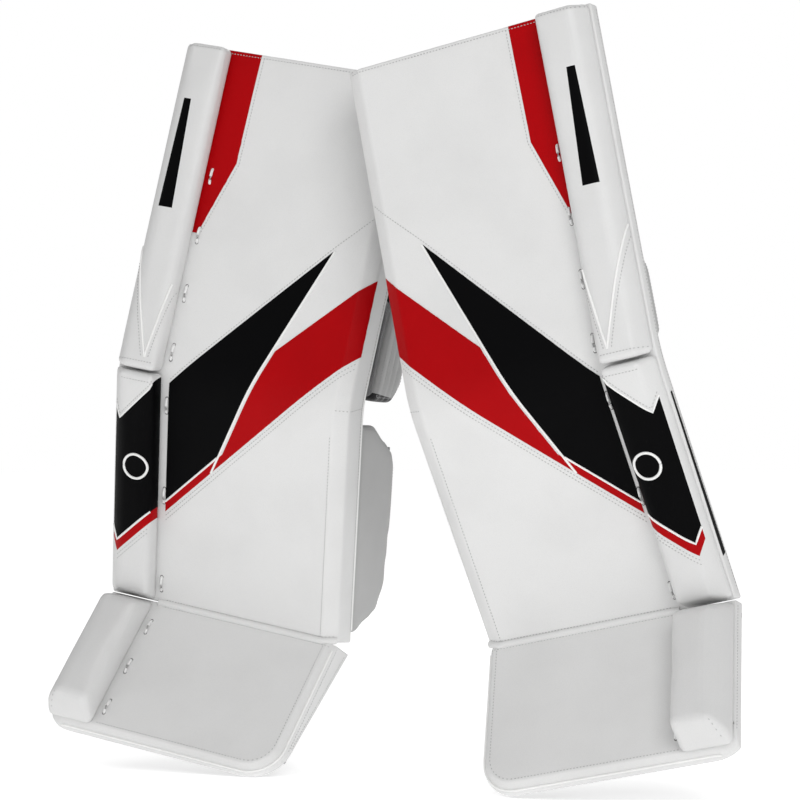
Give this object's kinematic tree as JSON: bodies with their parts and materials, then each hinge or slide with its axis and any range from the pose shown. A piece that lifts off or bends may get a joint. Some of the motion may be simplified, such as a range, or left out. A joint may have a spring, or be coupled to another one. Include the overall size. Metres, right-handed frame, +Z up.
{
  "type": "goalie leg pads",
  "caption": "Pair of padded ice hockey goalie leg pads: knee and boot breaks, laced outer rolls, calf wings, knee landings and webbing straps.",
  "frame": {"origin": "on the floor, under the middle of the pair at rest", "axes": "+X across the pair towards the left pad, +Y away from the faces towards the wearer, +Z up"},
  "size_m": [0.7442, 0.5356, 0.8076],
  "materials": {
    "white_leather": "white synthetic leather with a fine grain, satin",
    "roll_leather": "white synthetic leather, padded, satin",
    "foam": "dense closed-cell foam under the covers",
    "backing": "black woven backing panel",
    "cushion": "black knitted cushion, soft",
    "wing_leather": "white synthetic leather over a stiff flap",
    "cord": "white braided cord",
    "webbing": "black woven strap webbing",
    "hardware": "black moulded plastic"
  },
  "bodies": {
    "right_shin": {"right_shin_core": "foam", "right_shin_cover": "white_leather", "right_shin_lining": "backing", "right_knee_roll": "roll_leather", "right_shin_laces": "cord", "right_shin_cradle": "cushion"},
    "right_thigh": {"right_thigh_core": "foam", "right_thigh_cover": "white_leather", "right_thigh_lining": "backing", "right_thigh_roll": "roll_leather", "right_thigh_laces": "cord", "right_knee_cradle": "cushion", "right_outer_knee_wing": "wing_leather"},
    "right_boot": {"right_boot_core": "foam", "right_boot_cover": "white_leather", "right_boot_lining": "backing", "right_boot_roll": "roll_leather", "right_boot_laces": "cord", "right_toe_bridge": "hardware"},
    "right_inner_wing": {"right_inner_calf_wing": "wing_leather", "right_wing_rings": "hardware"},
    "right_outer_wing": {"right_outer_calf_wing": "wing_leather"},
    "right_landing": {"right_knee_landing": "cushion"},
    "right_knee_band": {"right_knee_strap": "webbing"},
    "right_upper_band": {"right_upper_calf_strap": "webbing", "right_upper_calf_hook": "hardware"},
    "right_lower_band": {"right_lower_calf_strap": "webbing", "right_lower_calf_hook": "hardware"},
    "right_heel_band": {"right_boot_strap": "webbing"},
    "left_shin": {"left_shin_core": "foam", "left_shin_cover": "white_leather", "left_shin_lining": "backing", "left_knee_roll": "roll_leather", "left_shin_laces": "cord", "left_shin_cradle": "cushion"},
    "left_thigh": {"left_thigh_core": "foam", "left_thigh_cover": "white_leather", "left_thigh_lining": "backing", "left_thigh_roll": "roll_leather", "left_thigh_laces": "cord", "left_knee_cradle": "cushion", "left_outer_knee_wing": "wing_leather"},
    "left_boot": {"left_boot_core": "foam", "left_boot_cover": "white_leather", "left_boot_lining": "backing", "left_boot_roll": "roll_leather", "left_boot_laces": "cord", "left_toe_bridge": "hardware"},
    "left_inner_wing": {"left_inner_calf_wing": "wing_leather", "left_wing_rings": "hardware"},
    "left_outer_wing": {"left_outer_calf_wing": "wing_leather"},
    "left_landing": {"left_knee_landing": "cushion"},
    "left_knee_band": {"left_knee_strap": "webbing"},
    "left_upper_band": {"left_upper_calf_strap": "webbing", "left_upper_calf_hook": "hardware"},
    "left_lower_band": {"left_lower_calf_strap": "webbing", "left_lower_calf_hook": "hardware"},
    "left_heel_band": {"left_boot_strap": "webbing"}
  },
  "joints": [
    {"name": "pads_apart", "type": "slide", "parent": "right_shin", "child": "left_shin", "axis": [1, 0, 0], "range_m": [0, 0.35]},
    {"name": "right_knee_flex", "type": "hinge", "parent": "right_shin", "child": "right_thigh", "pos_m": [-0.1649, 0.0538, 0.42075], "axis": [-0.9058, 0.3826, 0.1822], "range_deg": [-4, 8]},
    {"name": "right_boot_flex", "type": "hinge", "parent": "right_shin", "child": "right_boot", "pos_m": [-0.17922, 0.14223, 0.16392], "axis": [-0.9058, 0.3826, 0.1822], "range_deg": [-12, 8]},
    {"name": "right_inner_wing_open", "type": "hinge", "parent": "right_shin", "child": "right_inner_wing", "pos_m": [-0.03265, 0.12931, 0.1513], "axis": [-0.0526, 0.3251, -0.9442], "range_deg": [0, 45]},
    {"name": "right_outer_wing_open", "type": "hinge", "parent": "right_shin", "child": "right_outer_wing", "pos_m": [-0.27131, 0.23575, 0.20126], "axis": [0.0526, -0.3251, 0.9442], "range_deg": [0, 45]},
    {"name": "right_landing_fold", "type": "hinge", "parent": "right_thigh", "child": "right_landing", "pos_m": [-0.01096, 0.07124, 0.38651], "axis": [-0.2128, -0.0387, -0.9763], "range_deg": [0, 15]},
    {"name": "right_knee_strap_open", "type": "hinge", "parent": "right_landing", "child": "right_knee_band", "pos_m": [-0.00995, 0.14572, 0.38334], "axis": [-0.2128, -0.0387, -0.9763], "range_deg": [0, 90]},
    {"name": "right_upper_strap_open", "type": "hinge", "parent": "right_outer_wing", "child": "right_upper_band", "pos_m": [-0.21837, 0.28177, 0.21415], "axis": [0.0526, -0.3251, 0.9442], "range_deg": [0, 95]},
    {"name": "right_lower_strap_open", "type": "hinge", "parent": "right_outer_wing", "child": "right_lower_band", "pos_m": [-0.21837, 0.28177, 0.21415], "axis": [0.0526, -0.3251, 0.9442], "range_deg": [0, 95]},
    {"name": "right_heel_strap_swing", "type": "hinge", "parent": "right_boot", "child": "right_heel_band", "pos_m": [-0.18589, 0.15337, 0.10739], "axis": [0.9058, -0.3826, -0.1822], "range_deg": [0, 50]},
    {"name": "left_knee_flex", "type": "hinge", "parent": "left_shin", "child": "left_thigh", "pos_m": [0.14981, -0.16196, 0.42352], "axis": [-0.8939, 0.3961, -0.2096], "range_deg": [-4, 8]},
    {"name": "left_boot_flex", "type": "hinge", "parent": "left_shin", "child": "left_boot", "pos_m": [0.23678, -0.09777, 0.17392], "axis": [-0.8939, 0.3961, -0.2096], "range_deg": [-12, 8]},
    {"name": "left_inner_wing_open", "type": "hinge", "parent": "left_shin", "child": "left_inner_wing", "pos_m": [0.12639, -0.0006, 0.16044], "axis": [-0.3198, -0.236, 0.9176], "range_deg": [0, 45]},
    {"name": "left_outer_wing_open", "type": "hinge", "parent": "left_shin", "child": "left_outer_wing", "pos_m": [0.36587, -0.10119, 0.21802], "axis": [0.3198, 0.236, -0.9176], "range_deg": [0, 45]},
    {"name": "left_landing_fold", "type": "hinge", "parent": "left_thigh", "child": "left_landing", "pos_m": [0.05722, -0.03736, 0.39073], "axis": [-0.1716, 0.1295, 0.9766], "range_deg": [0, 15]},
    {"name": "left_knee_strap_open", "type": "hinge", "parent": "left_landing", "child": "left_knee_band", "pos_m": [0.11013, 0.01512, 0.39307], "axis": [-0.1716, 0.1295, 0.9766], "range_deg": [0, 90]},
    {"name": "left_upper_strap_open", "type": "hinge", "parent": "left_outer_wing", "child": "left_upper_band", "pos_m": [0.36144, -0.03188, 0.2343], "axis": [0.3198, 0.236, -0.9176], "range_deg": [0, 95]},
    {"name": "left_lower_strap_open", "type": "hinge", "parent": "left_outer_wing", "child": "left_lower_band", "pos_m": [0.36144, -0.03188, 0.2343], "axis": [0.3198, 0.236, -0.9176], "range_deg": [0, 95]},
    {"name": "left_heel_strap_swing", "type": "hinge", "parent": "left_boot", "child": "left_heel_band", "pos_m": [0.25239, -0.09194, 0.11837], "axis": [0.8939, -0.3961, 0.2096], "range_deg": [0, 50]}
  ]
}
